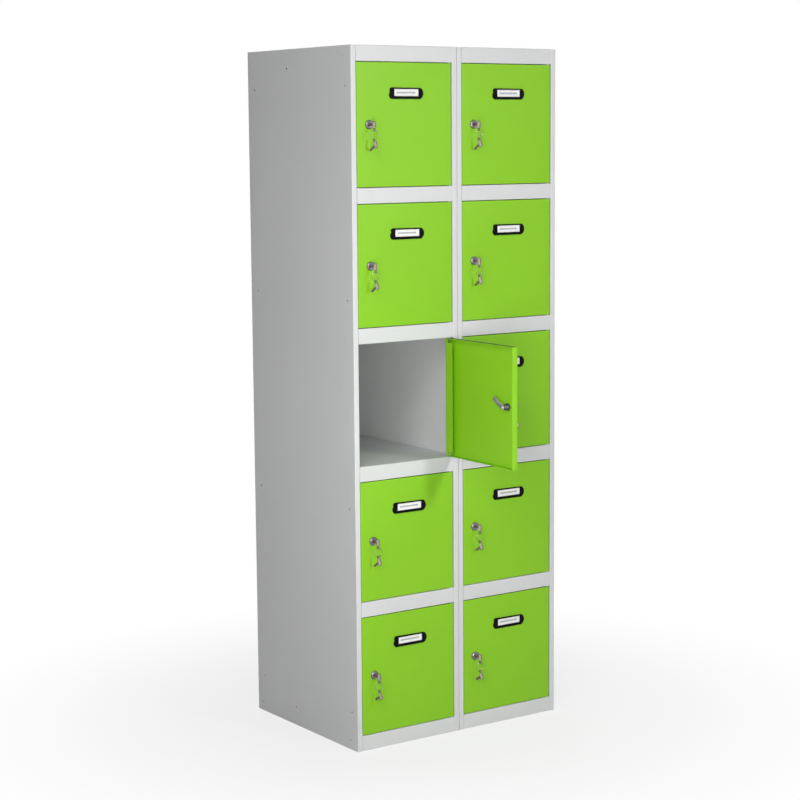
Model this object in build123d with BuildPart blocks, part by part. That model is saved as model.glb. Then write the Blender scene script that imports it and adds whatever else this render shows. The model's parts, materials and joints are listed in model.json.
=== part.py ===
"""A steel locker cabinet for phones and small belongings: two columns of five compartments.

Each column is a folded steel carcass of its own, and the two are riveted together side by side.
Every compartment has a pan-shaped door that turns on two pins, with a cam lock, a key that stays in
it, a ring with a spare key, and a label holder.

X runs along the front, Y to the back and Z up. The origin is on the floor, at the centre of the
cabinet's footprint. All sizes are in millimetres.
"""

import os
from math import cos, radians, sin
from build123d import *

# ---------------------------------------------------------------- driving sizes: the carcass
TIERS = 5
COLUMN_WIDTH = 325.0
CABINET_DEPTH = 500.0
OPENING_HEIGHT = 312.5
RAIL_HEIGHT = 39.5  # between two openings
END_RAIL_HEIGHT = 39.75  # above the top opening and below the bottom one

SHEET = 1.0
BEND = 2.0  # outer radius of a bend in the carcass
STILE_WIDTH = 15.0  # front flange of a wall
STILE_RETURN = 18.0  # how far the stile folds back into the column
BACK_FLANGE = 15.0
RAIL_RECESS = 0.5  # rails stand this far behind the stiles
RAIL_RETURN = 18.0
RAIL_END_GAP = 0.3
SHELF_FLANGE = 20.0  # flanges at the sides and back of a shelf
STRIP_GAP = 0.5  # between a shelf's plate and the stile's return
OVERLAP = 1.0  # how far two sheets of one piece run into each other where they are welded

# ---------------------------------------------------------------- driving sizes: holes in the walls
JOIN_HOLE_RADIUS = 2.65
JOIN_HOLE_FRONT = 27.0  # from the front
JOIN_HOLE_BACK = 35.0  # from the back
JOIN_HOLE_END = 100.0  # lowest and highest rows, from the bottom and the top
JOIN_ROWS = 4
SEAM_RISE = 30.0  # of the rivets in the centre walls above the outer walls' joining holes
SPARE_HOLE_RADIUS = 2.65
SPARE_HOLE_BACK = 198.0
SPARE_HOLE_END = 50.0
RIVET_RADIUS = 1.6
RIVET_HEAD_RADIUS = 2.8
RIVET_HEAD = 0.8
RIVET_TAIL = 1.5
RIVET_FRONT = 35.0
RIVET_BACK = 27.0
RIVET_END = 25.0
HOLE_CLEARANCE = 0.05  # radial, round pins, rivets and the lock's barrel

# ---------------------------------------------------------------- driving sizes: the doors
DOOR_RECESS = 1.0
DOOR_DEPTH = 15.0
DOOR_SHEET = 1.0
DOOR_BEND = 1.5
LOCK_SIDE_GAP = 1.6
HINGE_SIDE_GAP = 3.4
DOOR_END_GAP = 1.5  # above and below a door
LOCK_LIP = 8.0  # width of the lip beside the lock
HINGE_LIP = 30.0  # width of the lip beside the hinge
LOCK_LIP_CUT = 4.0  # how far the lip stops short of the door's ends
HINGE_LIP_CUT = 11.0  # the same beside the hinge, so that the pin can be reached
HINGE_LIP_TAB = 11.0  # part of the hinge's lip that isn't cut, from the door's edge
OPEN_DOOR = ("left", 3)
OPEN_ANGLE = 89.0

PIVOT_FROM_EDGE = 4.4
PIVOT_FROM_FACE = 5.5
PIN_RADIUS = 2.0
PIN_HEAD_RADIUS = 4.0
PIN_HEAD = 1.2
PIN_REACH = 14.0  # length inside the door
BUSH_RADIUS = 3.0
BUSH_FLANGE_RADIUS = 4.2
BUSH_FLANGE = 1.2
BUSH_STAND = 1.0  # how far the bush stands past the door's flange
RUNNING = 0.05  # radial running clearance

# ---------------------------------------------------------------- driving sizes: the label holder
LABEL_WIDTH = 103.0
LABEL_HEIGHT = 28.5
LABEL_THICKNESS = 3.5
LABEL_FROM_FREE_EDGE = 98.0
LABEL_CENTRE_HEIGHT = 233.0  # above the door's bottom
LABEL_BULGE = 9.5  # of the round end
LABEL_LOBE = 6.5  # of the larger of the two lobes beside the finger notch
LABEL_SMALL_LOBE = 4.7
LABEL_NOTCH = 3.0  # how far the notch reaches in from the larger lobe's end
LABEL_NOTCH_HEIGHT = 0.63  # of the notch, as a share of the holder's height
LABEL_EDGE_ROUND = 1.0
WINDOW_WIDTH = 76.0
WINDOW_HEIGHT = 18.0
WINDOW_RAISE = 1.5  # above the middle of the holder
WINDOW_FROM_END = 13.8
CARD_MARGIN = 2.5  # of the card under the frame
CARD_THICKNESS = 0.4
CARD_CLEARANCE = 0.1

# ---------------------------------------------------------------- driving sizes: the lock
LOCK_FROM_FREE_EDGE = 37.0
LOCK_HEIGHT = 155.0  # above the door's bottom
BEZEL_RADIUS = 11.6
BEZEL_FACE_RADIUS = 7.6
BEZEL_RIM = 1.6
BEZEL_HEIGHT = 5.0
BARREL_RADIUS = 7.0
LOCK_NUT_ACROSS_FLATS = 19.0
LOCK_NUT_HEIGHT = 4.0
PLUG_RADIUS = 4.5
PLUG_RECESS = 0.4
CAM_CLEARANCE = 1.5  # behind the stile's return
CAM_BEHIND_BARREL = 0.4
CAM_THICKNESS = 2.0
CAM_WIDTH = 12.5
CAM_REACH = 43.0
CAM_TIP_CUT = 1.5
CAM_SQUARE = 6.0
CAM_SCREW_RADIUS = 4.5
CAM_SCREW_HEAD = 2.6
OPEN_CAM_ANGLE = 29.0  # how far the open door's cam is turned from the unlocked place

# ---------------------------------------------------------------- driving sizes: keys and ring
KEY_THICKNESS = 2.0
KEY_BLADE_HEIGHT = 6.6
KEY_BLADE_DEPTH = 11.0  # inside the plug
KEY_SLOT_CLEARANCE = 0.1
KEY_NECK = 11.5
BOW_LENGTH = 12.5  # along the blade
BOW_ABOVE_BLADE = 8.6
BOW_CHAMFER = 3.0
BOW_SHOULDER = 8.0  # below the blade, where the bow starts to narrow
BOW_EYE_RADIUS = 4.2
BOW_EYE_BELOW_BLADE = 12.8
KEY_HOLE_RADIUS = 2.5
RING_RADIUS = 11.5
RING_WIRE_RADIUS = 0.7
RING_SEAT_GAP = 0.35  # between the wire and the edge of a key's hole

# ---------------------------------------------------------------- what follows from them
CABINET_HEIGHT = TIERS * OPENING_HEIGHT + (TIERS - 1) * RAIL_HEIGHT + 2 * END_RAIL_HEIGHT
PITCH = OPENING_HEIGHT + RAIL_HEIGHT
FRONT = -CABINET_DEPTH / 2
BACK = CABINET_DEPTH / 2
BACK_PANEL_FRONT = BACK - 2 * SHEET
RAIL_FRONT = FRONT + RAIL_RECESS
COLUMNS = {"left": -COLUMN_WIDTH, "right": 0.0}  # x of each column's left side

DOOR_WIDTH = COLUMN_WIDTH - 2 * STILE_WIDTH - LOCK_SIDE_GAP - HINGE_SIDE_GAP
DOOR_HEIGHT = OPENING_HEIGHT - 2 * DOOR_END_GAP
DOOR_FRONT = -PIVOT_FROM_FACE  # in the door's own frame, which has the pivot at its origin
DOOR_BACK = DOOR_FRONT + DOOR_DEPTH
FREE_EDGE = PIVOT_FROM_EDGE - DOOR_WIDTH
PIVOT_X = COLUMN_WIDTH - STILE_WIDTH - HINGE_SIDE_GAP - PIVOT_FROM_EDGE  # from the column's side
PIVOT_Y = FRONT + DOOR_RECESS + PIVOT_FROM_FACE

LOCK_X = FREE_EDGE + LOCK_FROM_FREE_EDGE
BEZEL_FRONT = DOOR_FRONT - BEZEL_HEIGHT
CAM_FRONT = FRONT + STILE_RETURN + CAM_CLEARANCE - PIVOT_Y
BARREL_BACK = CAM_FRONT - CAM_BEHIND_BARREL
BOW_MIDDLE = BEZEL_FRONT - KEY_NECK - BOW_LENGTH / 2

BUILD_UP = (Align.CENTER, Align.CENTER, Align.MIN)


def opening_floor(tier):
    """Height of the floor of a compartment. Tier 1 is at the top."""
    return END_RAIL_HEIGHT + (TIERS - tier) * PITCH


def join_rows():
    """Heights of the rows of holes that join one cabinet to the next."""
    step = (CABINET_HEIGHT - 2 * JOIN_HOLE_END) / (JOIN_ROWS - 1)
    return [JOIN_HOLE_END + row * step for row in range(JOIN_ROWS)]


def join_spots():
    """Depth and height of each joining hole."""
    return [(y, z) for y in (FRONT + JOIN_HOLE_FRONT, BACK - JOIN_HOLE_BACK) for z in join_rows()]


def seam_spots():
    """Depth and height of each rivet that joins the two columns. They stand off the lines of the
    joining holes, so that a screw put in from outside has a free way."""
    return [(y, z + SEAM_RISE) for y, z in join_spots()]


def rivet_spots():
    """Depth and height of each rivet that holds an end panel to a side panel."""
    heights = (RIVET_END, CABINET_HEIGHT - RIVET_END)
    return [(y, z) for y in (FRONT + RIVET_FRONT, BACK - RIVET_BACK) for z in heights]


def spare_spots():
    """Depth and height of the two spare holes in a wall."""
    return [(BACK - SPARE_HOLE_BACK, z) for z in (SPARE_HOLE_END, CABINET_HEIGHT - SPARE_HOLE_END)]


# ---------------------------------------------------------------- carcass
def wall(x, inward, is_outer):
    """A full-height wall at x with its front stile and back flange. inward is 1 or -1."""
    stile_x = x + inward * STILE_WIDTH
    outer_line = [
        (stile_x, FRONT + STILE_RETURN),
        (stile_x, FRONT),
        (x, FRONT),
        (x, BACK),
        (x + inward * BACK_FLANGE, BACK),
    ]
    with BuildPart() as panel:
        with BuildSketch(Plane.XY):
            with BuildLine():
                FilletPolyline(*outer_line, radius=BEND)
                offset(amount=SHEET, side=Side.RIGHT if inward > 0 else Side.LEFT)
            make_face()
        extrude(amount=CABINET_HEIGHT)
        # the top panel's plate passes over the stile's return
        with Locations((stile_x, FRONT + SHEET, CABINET_HEIGHT)):
            Box(2 * (SHEET + RAIL_END_GAP), 2 * STILE_RETURN, 2 * (SHEET + RAIL_END_GAP),
                align=(Align.CENTER, Align.MIN, Align.CENTER), mode=Mode.SUBTRACT)
        with BuildSketch(Plane.YZ.offset(x)):
            if is_outer:
                with Locations(*join_spots()):
                    Circle(JOIN_HOLE_RADIUS)
                with Locations(*spare_spots()):
                    Circle(SPARE_HOLE_RADIUS)
            with Locations(*(rivet_spots() if is_outer else seam_spots())):
                Circle(RIVET_RADIUS + HOLE_CLEARANCE)
        extrude(amount=2 * SHEET, both=True, mode=Mode.SUBTRACT)
    return panel.part


def cross_panel(x, top, rail, strip_front):
    """A shelf, floor panel or top panel of the column at x: its plate is at height top, with a
    front rail that folds back below, and flanges down at the sides and the back."""
    left_end = x + STILE_WIDTH + RAIL_END_GAP
    right_end = x + COLUMN_WIDTH - STILE_WIDTH - RAIL_END_GAP
    side_line = [
        (RAIL_FRONT + RAIL_RETURN, top - rail),
        (RAIL_FRONT, top - rail),
        (RAIL_FRONT, top),
        (BACK_PANEL_FRONT, top),
        (BACK_PANEL_FRONT, top - SHELF_FLANGE),
    ]
    with BuildPart() as panel:
        with BuildSketch(Plane.YZ.offset(left_end)):
            with BuildLine():
                FilletPolyline(*side_line, radius=BEND)
                offset(amount=SHEET, side=Side.RIGHT)
            make_face()
        extrude(amount=right_end - left_end)
        for wall_x, plate_end, side in (
            (x + SHEET, left_end + OVERLAP, Side.RIGHT),
            (x + COLUMN_WIDTH - SHEET, right_end - OVERLAP, Side.LEFT),
        ):
            # Plane.XZ faces the front, so its extrusion runs that way
            with BuildSketch(Plane.XZ.offset(-BACK_PANEL_FRONT)):
                with BuildLine():
                    FilletPolyline(
                        (wall_x, top - SHELF_FLANGE), (wall_x, top), (plate_end, top), radius=BEND
                    )
                    offset(amount=SHEET, side=side)
                make_face()
            extrude(amount=BACK_PANEL_FRONT - strip_front)
    return panel.part


def with_pin_holes(panel, column_x, plate_top=None, return_bottom=None):
    """The panel with the holes for the hinge pins in its plate and in its rail's return."""
    heights = [z for z in (plate_top, return_bottom) if z is not None]
    with BuildPart() as drilled:
        add(panel)
        for z in heights:
            with Locations((column_x + PIVOT_X, PIVOT_Y, z)):
                Cylinder(PIN_RADIUS + HOLE_CLEARANCE, 4 * SHEET, mode=Mode.SUBTRACT)
    return drilled.part


def with_rivet_holes(panel):
    """The panel with rivet holes through its side flanges, along the whole width."""
    with BuildPart() as drilled:
        add(panel)
        with BuildSketch(Plane.YZ):
            with Locations(*rivet_spots()):
                Circle(RIVET_RADIUS + HOLE_CLEARANCE)
        extrude(amount=2 * COLUMN_WIDTH, both=True, mode=Mode.SUBTRACT)
    return drilled.part


def shelves():
    """The shelves of both columns. Each one's rail carries a pin for the door above and below."""
    strip_front = FRONT + STILE_RETURN + STRIP_GAP
    pieces = []
    for column_x in COLUMNS.values():
        for tier in range(1, TIERS):
            top = opening_floor(tier)
            shelf = cross_panel(column_x, top, RAIL_HEIGHT, strip_front)
            pieces.append(with_pin_holes(shelf, column_x, top, top - RAIL_HEIGHT))
    return pieces


def floor_panels():
    strip_front = FRONT + STILE_RETURN + STRIP_GAP
    pieces = []
    for column_x in COLUMNS.values():
        panel = cross_panel(column_x, END_RAIL_HEIGHT, END_RAIL_HEIGHT, strip_front)
        pieces.append(with_rivet_holes(with_pin_holes(panel, column_x, END_RAIL_HEIGHT)))
    return pieces


def top_panels():
    """The top plates, which also close the tops of the stiles."""
    strip_front = FRONT + BEND
    pieces = []
    for column_x in COLUMNS.values():
        panel = cross_panel(column_x, CABINET_HEIGHT, END_RAIL_HEIGHT, strip_front)
        panel = with_pin_holes(panel, column_x, None, CABINET_HEIGHT - END_RAIL_HEIGHT)
        pieces.append(with_rivet_holes(panel))
    return pieces


def back_panels():
    """Flat sheets behind the shelves, welded to the inside of the walls' back flanges."""
    pieces = []
    for column_x in COLUMNS.values():
        with BuildPart(Plane.XY) as panel:
            with Locations((column_x + COLUMN_WIDTH / 2, BACK_PANEL_FRONT, 0)):
                Box(COLUMN_WIDTH - 2 * BEND, SHEET, CABINET_HEIGHT,
                    align=(Align.CENTER, Align.MIN, Align.MIN))
        pieces.append(panel.part)
    return pieces


# ---------------------------------------------------------------- fasteners and hinges
def blind_rivet():
    """A rivet through two sheets, from a face at x 0, with its tail along +X."""
    with BuildPart() as rivet:
        with BuildSketch(Plane.XZ):
            with BuildLine():
                Line((0, 0), (-RIVET_HEAD, 0))
                ThreePointArc(
                    (-RIVET_HEAD, 0),
                    (-RIVET_HEAD * 0.7, RIVET_HEAD_RADIUS * 0.66),
                    (0, RIVET_HEAD_RADIUS),
                )
                Line((0, RIVET_HEAD_RADIUS), (0, 0))
            make_face()
        revolve(axis=Axis.X)
        with BuildSketch(Plane.YZ):
            Circle(RIVET_RADIUS)
        extrude(amount=2 * SHEET)
        with BuildSketch(Plane.YZ.offset(2 * SHEET)):
            Circle(RIVET_RADIUS * 1.5)
        extrude(amount=RIVET_TAIL, taper=15)
    return rivet.part


def carcass_fasteners():
    """The rivets that join the centre walls, and those of the two side panels."""
    rivet = blind_rivet()
    pieces = [rivet.moved(Location((-SHEET, y, z))) for y, z in seam_spots()]
    for y, z in rivet_spots():
        pieces.append(rivet.moved(Location((-COLUMN_WIDTH, y, z))))
        pieces.append(rivet.moved(Location((COLUMN_WIDTH, y, z), (0, 0, 180))))
    return pieces


def hinge_pin():
    """A pin that stands up through a rail's sheet, whose top is at z 0."""
    with BuildPart() as pin:
        with BuildSketch(Plane.XY.offset(-SHEET - PIN_HEAD)):
            Circle(PIN_HEAD_RADIUS)
        extrude(amount=PIN_HEAD)
        with BuildSketch(Plane.XY.offset(-SHEET)):
            Circle(PIN_RADIUS)
        extrude(amount=SHEET + DOOR_END_GAP + DOOR_SHEET + PIN_REACH)
        chamfer(pin.edges().sort_by(Axis.Z)[-1], length=PIN_RADIUS / 4)
    return pin.part


def hinge_bush():
    """The flanged bush round a pin: it stands on the rail and passes through the door's flange."""
    with BuildPart() as bush:
        Cylinder(BUSH_RADIUS, DOOR_END_GAP + DOOR_SHEET + BUSH_STAND, align=BUILD_UP)
        Cylinder(BUSH_FLANGE_RADIUS, BUSH_FLANGE, align=BUILD_UP)
        Cylinder(PIN_RADIUS + RUNNING, 4 * PIN_REACH, mode=Mode.SUBTRACT)
    return bush.part


def at_every_hinge(piece):
    """Copies of a hinge piece at the bottom and the top of each door."""
    copies = []
    for column_x in COLUMNS.values():
        for tier in range(1, TIERS + 1):
            low = opening_floor(tier)
            spot = (column_x + PIVOT_X, PIVOT_Y)
            copies.append(piece.moved(Location((*spot, low))))
            copies.append(piece.moved(Location((*spot, low + OPENING_HEIGHT), (180, 0, 0))))
    return copies


# ---------------------------------------------------------------- one door, in its own frame
# The door's frame has its origin on the pivot at the door's bottom edge. The closed door lies
# towards -X from it and faces -Y.
def door_panel():
    """A pan of folded sheet with lips on its upright sides."""
    middle_x = PIVOT_FROM_EDGE - DOOR_WIDTH / 2
    with BuildPart() as pan:
        with Locations((middle_x, DOOR_FRONT, 0)):
            Box(DOOR_WIDTH, DOOR_DEPTH, DOOR_HEIGHT, align=(Align.CENTER, Align.MIN, Align.MIN))
        front_edges = pan.faces().sort_by(Axis.Y)[0].edges()
        upright_edges = pan.edges().filter_by(Axis.Z).group_by(Axis.Y)[-1]
        fillet(front_edges + upright_edges, radius=DOOR_BEND)
        with Locations((middle_x, DOOR_FRONT + DOOR_SHEET, DOOR_SHEET)):
            Box(DOOR_WIDTH - 2 * DOOR_SHEET, DOOR_DEPTH - 2 * DOOR_SHEET,
                DOOR_HEIGHT - 2 * DOOR_SHEET, align=(Align.CENTER, Align.MIN, Align.MIN),
                mode=Mode.SUBTRACT)
        # the opening between the lips, and the cuts at the lips' ends
        for start_x, end_x, cut in (
            (FREE_EDGE + LOCK_LIP, PIVOT_FROM_EDGE - HINGE_LIP, 0),
            (FREE_EDGE + DOOR_BEND, FREE_EDGE + LOCK_LIP, LOCK_LIP_CUT),
            (PIVOT_FROM_EDGE - HINGE_LIP, PIVOT_FROM_EDGE - HINGE_LIP_TAB, HINGE_LIP_CUT),
        ):
            heights = [(DOOR_SHEET, DOOR_HEIGHT - DOOR_SHEET)]
            if cut:
                heights = [(DOOR_SHEET, cut), (DOOR_HEIGHT - cut, DOOR_HEIGHT - DOOR_SHEET)]
            for low, high in heights:
                with Locations((start_x, DOOR_BACK - 2 * DOOR_SHEET, low)):
                    Box(end_x - start_x, 3 * DOOR_SHEET, high - low,
                        align=(Align.MIN, Align.MIN, Align.MIN), mode=Mode.SUBTRACT)
        with Locations((0, 0, 0), (0, 0, DOOR_HEIGHT)):
            Cylinder(BUSH_RADIUS + RUNNING, 4 * DOOR_SHEET, mode=Mode.SUBTRACT)
        with BuildSketch(Plane.XZ.offset(-DOOR_FRONT)):
            with Locations((LOCK_X, LOCK_HEIGHT)):
                Circle(BARREL_RADIUS + HOLE_CLEARANCE)
        extrude(amount=2 * DOOR_SHEET, both=True, mode=Mode.SUBTRACT)
    return [pan.part]


def label_holder():
    """A moulded frame with one round end and a finger notch, and the blank card behind it."""
    left = FREE_EDGE + LABEL_FROM_FREE_EDGE
    right = left + LABEL_WIDTH
    low = LABEL_CENTRE_HEIGHT - LABEL_HEIGHT / 2
    high = low + LABEL_HEIGHT
    notch = Vector(left + LABEL_NOTCH, low + LABEL_NOTCH_HEIGHT * LABEL_HEIGHT)
    straight_left = left + LABEL_LOBE
    straight_right = right - LABEL_BULGE
    small_lobe = (straight_left - LABEL_SMALL_LOBE, (notch.Y + high) / 2)
    large_lobe = (left, (notch.Y + low) / 2)
    window_middle = left + WINDOW_FROM_END + WINDOW_WIDTH / 2
    window_height = LABEL_CENTRE_HEIGHT + WINDOW_RAISE
    card_pocket = CARD_THICKNESS + CARD_CLEARANCE
    with BuildPart() as frame:
        with BuildSketch(Plane.XZ.offset(-DOOR_FRONT)):
            with BuildLine():
                Line((straight_left, high), (straight_right, high))
                ThreePointArc((straight_right, high), (right, LABEL_CENTRE_HEIGHT),
                              (straight_right, low))
                Line((straight_right, low), (straight_left, low))
                ThreePointArc((straight_left, low), large_lobe, (notch.X, notch.Y))
                ThreePointArc((notch.X, notch.Y), small_lobe, (straight_left, high))
            make_face()
            with Locations((window_middle, window_height)):
                RectangleRounded(WINDOW_WIDTH, WINDOW_HEIGHT, LABEL_EDGE_ROUND, mode=Mode.SUBTRACT)
        extrude(amount=LABEL_THICKNESS)
        front_edges = frame.faces().sort_by(Axis.Y)[0].edges()
        chamfer(front_edges.filter_by(Axis.X), length=LABEL_EDGE_ROUND)
        with BuildSketch(Plane.XZ.offset(-DOOR_FRONT)):
            with Locations((window_middle, window_height)):
                Rectangle(WINDOW_WIDTH + 2 * (CARD_MARGIN + CARD_CLEARANCE),
                          WINDOW_HEIGHT + 2 * (CARD_MARGIN + CARD_CLEARANCE))
        extrude(amount=card_pocket, mode=Mode.SUBTRACT)
    with BuildPart() as card:
        with BuildSketch(Plane.XZ.offset(-DOOR_FRONT)):
            with Locations((window_middle, window_height)):
                Rectangle(WINDOW_WIDTH + 2 * CARD_MARGIN, WINDOW_HEIGHT + 2 * CARD_MARGIN)
        extrude(amount=CARD_THICKNESS)
    return [frame.part, card.part]


def lock_body():
    """The lock's housing with its domed bezel, and the nut that clamps it to the door."""
    axis = Axis((LOCK_X, 0, LOCK_HEIGHT), (0, 1, 0))
    with BuildPart() as housing:
        with BuildSketch(Plane.XY.offset(LOCK_HEIGHT)):
            with BuildLine():
                Polyline(
                    (LOCK_X, BARREL_BACK),
                    (LOCK_X + BARREL_RADIUS, BARREL_BACK),
                    (LOCK_X + BARREL_RADIUS, DOOR_FRONT),
                    (LOCK_X + BEZEL_RADIUS, DOOR_FRONT),
                    (LOCK_X + BEZEL_RADIUS, DOOR_FRONT - BEZEL_RIM),
                )
                TangentArc(
                    (LOCK_X + BEZEL_RADIUS, DOOR_FRONT - BEZEL_RIM),
                    (LOCK_X + BEZEL_FACE_RADIUS, BEZEL_FRONT),
                    tangent=(0, -1),
                )
                Polyline(
                    (LOCK_X + BEZEL_FACE_RADIUS, BEZEL_FRONT),
                    (LOCK_X, BEZEL_FRONT),
                    (LOCK_X, BARREL_BACK),
                )
            make_face()
        revolve(axis=axis)
        with BuildSketch(Plane.XZ.offset(-BARREL_BACK - CAM_THICKNESS)):
            with Locations((LOCK_X, LOCK_HEIGHT)):
                Circle(PLUG_RADIUS + RUNNING)
        extrude(amount=BARREL_BACK - BEZEL_FRONT + 2 * CAM_THICKNESS, mode=Mode.SUBTRACT)
    with BuildPart() as nut:
        with BuildSketch(Plane.XZ.offset(-DOOR_FRONT - DOOR_SHEET)):
            with Locations((LOCK_X, LOCK_HEIGHT)):
                RegularPolygon(LOCK_NUT_ACROSS_FLATS / 2, 6, major_radius=False)
                Circle(BARREL_RADIUS + HOLE_CLEARANCE, mode=Mode.SUBTRACT)
        extrude(amount=-LOCK_NUT_HEIGHT)
    return [housing.part, nut.part]


def key(plane):
    """A key in a plane whose x runs along the blade to its tip and whose y points away from the
    eye of the bow, with the plane's origin at the centre of the eye."""
    blade_end = BOW_LENGTH / 2 + KEY_NECK + KEY_BLADE_DEPTH
    half = BOW_LENGTH / 2
    top = BOW_EYE_BELOW_BLADE + BOW_ABOVE_BLADE
    shoulder = BOW_EYE_BELOW_BLADE - BOW_SHOULDER
    with BuildPart() as body:
        with BuildSketch(plane):
            with BuildLine():
                Polyline(
                    (-half, shoulder),
                    (-half, top - BOW_CHAMFER),
                    (BOW_CHAMFER - half, top),
                    (half, top),
                    (half, shoulder),
                )
                ThreePointArc((half, shoulder), (0, -BOW_EYE_RADIUS), (-half, shoulder))
            make_face()
            Circle(KEY_HOLE_RADIUS, mode=Mode.SUBTRACT)
            with Locations((half, BOW_EYE_BELOW_BLADE)):
                Rectangle(2 * (blade_end - half), KEY_BLADE_HEIGHT,
                          align=(Align.CENTER, Align.CENTER))
            with Locations((-half, BOW_EYE_BELOW_BLADE)):
                Rectangle(2 * blade_end, 2 * KEY_BLADE_HEIGHT,
                          align=(Align.MAX, Align.CENTER), mode=Mode.SUBTRACT)
        extrude(amount=KEY_THICKNESS / 2, both=True)
    return body.part


def lock_core():
    """The plug with its keyway, the cam on its square, the cam's screw and the key. The cam
    points to the hinge: the lock is open."""
    tail_end = CAM_FRONT + CAM_THICKNESS
    plug_front = BEZEL_FRONT + PLUG_RECESS
    lock_spot = (LOCK_X, LOCK_HEIGHT)
    with BuildPart() as plug:
        with BuildSketch(Plane.XZ.offset(-plug_front)):
            with Locations(lock_spot):
                Circle(PLUG_RADIUS)
        extrude(amount=-(CAM_FRONT - plug_front))
        with BuildSketch(Plane.XZ.offset(-CAM_FRONT)):
            with Locations(lock_spot):
                Rectangle(CAM_SQUARE, CAM_SQUARE)
        extrude(amount=-CAM_THICKNESS)
        with BuildSketch(Plane.XZ.offset(-plug_front)):
            with Locations(lock_spot):
                Rectangle(KEY_THICKNESS + 2 * KEY_SLOT_CLEARANCE,
                          KEY_BLADE_HEIGHT + 2 * KEY_SLOT_CLEARANCE)
        extrude(amount=-(KEY_BLADE_DEPTH + KEY_SLOT_CLEARANCE), mode=Mode.SUBTRACT)
    with BuildPart() as cam:
        with BuildSketch(Plane.XZ.offset(-CAM_FRONT)):
            with Locations(lock_spot):
                Circle(CAM_WIDTH / 2)
                Rectangle(CAM_REACH, CAM_WIDTH, align=(Align.MIN, Align.CENTER))
                Rectangle(CAM_SQUARE + 2 * HOLE_CLEARANCE, CAM_SQUARE + 2 * HOLE_CLEARANCE,
                          mode=Mode.SUBTRACT)
        extrude(amount=-CAM_THICKNESS)
        tip_corners = cam.edges().filter_by(Axis.Y).group_by(Axis.X)[-1]
        chamfer(tip_corners, length=CAM_TIP_CUT)
    with BuildPart() as screw:
        with BuildSketch(Plane.XZ.offset(-tail_end)):
            with Locations(lock_spot):
                Circle(CAM_SCREW_RADIUS)
        extrude(amount=-CAM_SCREW_HEAD)
        fillet(screw.edges().group_by(Axis.Y)[-1], radius=CAM_SCREW_HEAD / 2)
    eye = Plane(
        origin=(LOCK_X, BOW_MIDDLE, LOCK_HEIGHT - BOW_EYE_BELOW_BLADE),
        x_dir=(0, 1, 0),
        z_dir=(1, 0, 0),
    )
    return [plug.part, cam.part, screw.part, key(eye)]


def ring_drop(turn):
    """How far the ring's wire lies below the middle of the hole that it hangs in, with the key
    turned by that angle in degrees."""
    edge = KEY_HOLE_RADIUS * cos(radians(turn)) - KEY_THICKNESS / 2 * sin(radians(turn))
    return edge - RING_WIRE_RADIUS - RING_SEAT_GAP


def key_ring(turn):
    """The ring and the spare key. The ring hangs straight down from the key's eye, wherever the
    key has turned it, and the spare key hangs with its centre of mass below its own eye."""
    to_eye = Vector(0, 0, -BOW_EYE_BELOW_BLADE).rotate(Axis((0, 0, 0), (0, -1, 0)), turn)
    eye = Vector(LOCK_X, BOW_MIDDLE, LOCK_HEIGHT) + to_eye
    ring_centre = eye - Vector(0, 0, ring_drop(turn) + RING_RADIUS)
    with BuildPart(Plane(origin=ring_centre, z_dir=(0, 1, 0))) as ring:
        Torus(RING_RADIUS, RING_WIRE_RADIUS)
    balance = key(Plane.XY).center(CenterOf.MASS).normalized()
    spare_plane = Plane(
        origin=ring_centre - Vector(0, 0, RING_RADIUS + ring_drop(0)),
        x_dir=(0, balance.Y, -balance.X),
        z_dir=(-1, 0, 0),
    )
    return [ring.part, key(spare_plane)]


# ---------------------------------------------------------------- putting it together
def write(name, pieces):
    """Writes one node, as a solid or as a group of separate solids."""
    whole = pieces[0] if len(pieces) == 1 else Compound(children=pieces)
    whole.label = name
    export_step(whole, f"parts/{name}.step")


def write_carcass():
    write("left_side_panel", [wall(-COLUMN_WIDTH, 1, True)])
    write("right_side_panel", [wall(COLUMN_WIDTH, -1, True)])
    write("centre_walls", [wall(0, -1, False), wall(0, 1, False)])
    write("back_panels", back_panels())
    write("top_panels", top_panels())
    write("floor_panels", floor_panels())
    write("shelves", shelves())
    write("carcass_fasteners", carcass_fasteners())
    write("hinge_pins", at_every_hinge(hinge_pin()))
    write("hinge_bushes", at_every_hinge(hinge_bush()))


def write_doors():
    panel, label, body, core = door_panel(), label_holder(), lock_body(), lock_core()
    lock_axis = Axis((LOCK_X, 0, LOCK_HEIGHT), (0, -1, 0))
    for column, column_x in COLUMNS.items():
        for tier in range(1, TIERS + 1):
            is_open = (column, tier) == OPEN_DOOR
            swing = OPEN_ANGLE if is_open else 0
            turn = OPEN_CAM_ANGLE if is_open else 0
            bottom = opening_floor(tier) + DOOR_END_GAP
            spot = Location((column_x + PIVOT_X, PIVOT_Y, bottom), (0, 0, swing))
            pieces = {
                "door": panel,
                "label_holder": label,
                "lock_body": body,
                "lock_core": [piece.rotate(lock_axis, turn) for piece in core],
                "key_ring": key_ring(turn),
            }
            for name, solids in pieces.items():
                write(f"{column}_{tier}_{name}", [solid.moved(spot) for solid in solids])


os.makedirs("parts", exist_ok=True)
write_carcass()
write_doors()
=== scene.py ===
"""The looks of a steel locker cabinet: powder-coated sheet, cam locks, keys, label holders.

Lengths are in metres unless a name ends in _MM. A door's pieces are made in millimetres, in the
door's own frame: its origin is on the hinge pivot at the door's bottom edge, X runs along the
closed door towards the hinge, Y into the cabinet and Z up. They are then put in their place.
"""

import json
import math

import bmesh
import bpy
from mathutils import Matrix, Vector


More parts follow.
